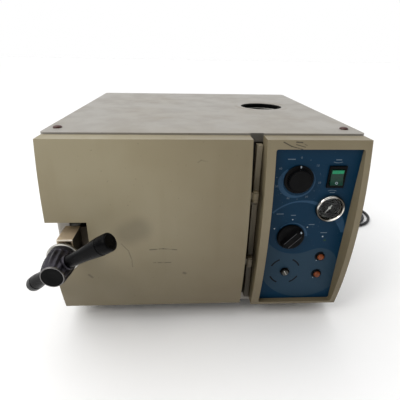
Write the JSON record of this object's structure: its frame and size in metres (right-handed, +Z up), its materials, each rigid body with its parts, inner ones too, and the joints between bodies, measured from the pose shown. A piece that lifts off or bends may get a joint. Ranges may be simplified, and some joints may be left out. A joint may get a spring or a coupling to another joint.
{
  "type": "benchtop autoclave",
  "caption": "Benchtop steam autoclave with a bowed hinged door, screw closing handle, round chamber with trays and a side control panel.",
  "frame": {"origin": "middle of the machine's bounding box, on the table under its feet, measured without the mains lead", "axes": "+X to the right seen from the front, +Y to the back, +Z up"},
  "size_m": [0.7173, 0.6848, 0.3085],
  "materials": {
    "cabinet_paint": "light beige enamel, satin, scuffed",
    "inner_primer": "dark grey primer, matt",
    "cover_moulding": "beige moulded cover, fine satin grain, scuffed",
    "panel_film": "navy overlay with a paler slate curve, satin",
    "black_plastic": "black moulded plastic, fine grain",
    "foot_rubber": "black rubber, matt",
    "cord_jacket": "black flexible cord jacket",
    "silicone_seal": "pale silicone rubber",
    "stainless": "satin stainless steel",
    "bezel_chrome": "bright plated ring",
    "dark_steel": "zinc plated steel, dull grey",
    "brass": "machined brass",
    "copper": "copper pipe, dull",
    "mineral_wool": "pale insulating blanket",
    "plug_brown": "dark brown plastic plug",
    "gauge_glass": "clear lens",
    "gauge_face": "black dial, pale scale",
    "needle_white": "white needle",
    "lamp_amber": "translucent amber lens",
    "rocker_green": "translucent green rocker"
  },
  "bodies": {
    "cabinet": {"outer_cover": "cabinet_paint", "rear_panel": "cabinet_paint", "base_pan": "cabinet_paint", "hinge_post": "cabinet_paint", "upper_hinge_bracket": "cabinet_paint", "lower_hinge_bracket": "cabinet_paint", "upper_hinge_pin": "cabinet_paint", "lower_hinge_pin": "cabinet_paint", "front_frame": "inner_primer", "control_fascia": "cover_moulding", "control_panel": "panel_film", "rocker_frame": "black_plastic", "filler_neck": "black_plastic", "cord_gland": "black_plastic", "power_plug": "black_plastic", "foot_front_left": "foot_rubber", "foot_front_right": "foot_rubber", "foot_rear_left": "foot_rubber", "foot_rear_right": "foot_rubber", "power_cord": "cord_jacket", "chamber_vessel": "stainless", "tray_rack": "stainless", "lower_tray": "stainless", "upper_tray": "stainless", "water_reservoir": "stainless", "gauge_bezel": "bezel_chrome", "heater_band": "dark_steel", "keeper_block": "dark_steel", "timer_unit": "dark_steel", "thermostat_unit": "dark_steel", "gauge_case": "dark_steel", "function_valve": "brass", "safety_valve_body": "brass", "exhaust_pipe": "copper", "insulation_jacket": "mineral_wool", "top_plug_left": "plug_brown", "top_plug_right": "plug_brown", "gauge_lens": "gauge_glass", "gauge_dial": "gauge_face", "upper_lamp": "lamp_amber", "lower_lamp": "lamp_amber"},
    "door": {"door_cover": "cover_moulding", "door_plate": "stainless", "door_gasket": "silicone_seal", "door_bridge": "dark_steel", "centre_bolt": "stainless", "hinge_arm": "cabinet_paint", "closing_clevis": "stainless"},
    "closing_travel": {"thrust_collar": "stainless"},
    "closing_handle": {"closing_hub": "black_plastic", "closing_screw": "stainless", "hub_cap": "black_plastic", "right_grip": "black_plastic", "left_grip": "black_plastic"},
    "timer": {"timer_knob": "black_plastic"},
    "valve_selector": {"valve_knob": "black_plastic"},
    "thermostat_adjuster": {"thermostat_spindle": "stainless"},
    "rocker": {"power_rocker": "rocker_green"},
    "needle": {"gauge_needle": "needle_white"},
    "safety_pull": {"safety_valve_pull": "stainless"}
  },
  "joints": [
    {"name": "door_swing", "type": "hinge", "parent": "cabinet", "child": "door", "pos_m": [0.08005, -0.19853, 0.155], "axis": [0, 0, 1], "range_deg": [0, 105]},
    {"name": "screw_travel", "type": "slide", "parent": "door", "child": "closing_travel", "axis": [0, -1, 0], "range_m": [0, 0.012]},
    {"name": "handle_turn", "type": "hinge", "parent": "closing_travel", "child": "closing_handle", "pos_m": [-0.17545, -0.25453, 0.155], "axis": [0, -1, 0], "range_deg": [0, 1080]},
    {"name": "timer_turn", "type": "hinge", "parent": "cabinet", "child": "timer", "pos_m": [0.14025, -0.18718, 0.24666], "axis": [0, 0.9995, 0.0314], "range_deg": [0, 300]},
    {"name": "valve_turn", "type": "hinge", "parent": "cabinet", "child": "valve_selector", "pos_m": [0.14155, -0.18428, 0.1543], "axis": [0, -0.9995, -0.0314], "range_deg": [0, 120]},
    {"name": "thermostat_turn", "type": "hinge", "parent": "cabinet", "child": "thermostat_adjuster", "pos_m": [0.14155, -0.18224, 0.08934], "axis": [0, 0.9995, 0.0314], "range_deg": [-135, 135]},
    {"name": "rocker_tilt", "type": "hinge", "parent": "cabinet", "child": "rocker", "pos_m": [0.19245, -0.1903, 0.25046], "axis": [1, 0, 0], "range_deg": [0, 13]},
    {"name": "needle_sweep", "type": "hinge", "parent": "cabinet", "child": "needle", "pos_m": [0.19225, -0.18579, 0.20228], "axis": [0, 0.9995, 0.0314], "range_deg": [0, 270]},
    {"name": "safety_lift", "type": "slide", "parent": "cabinet", "child": "safety_pull", "axis": [0, 0, 1], "range_m": [0, 0.005]}
  ],
  "couplings": [
    {"joint": "screw_travel", "follows": "handle_turn", "m_per_rad": 0.00063662}
  ]
}
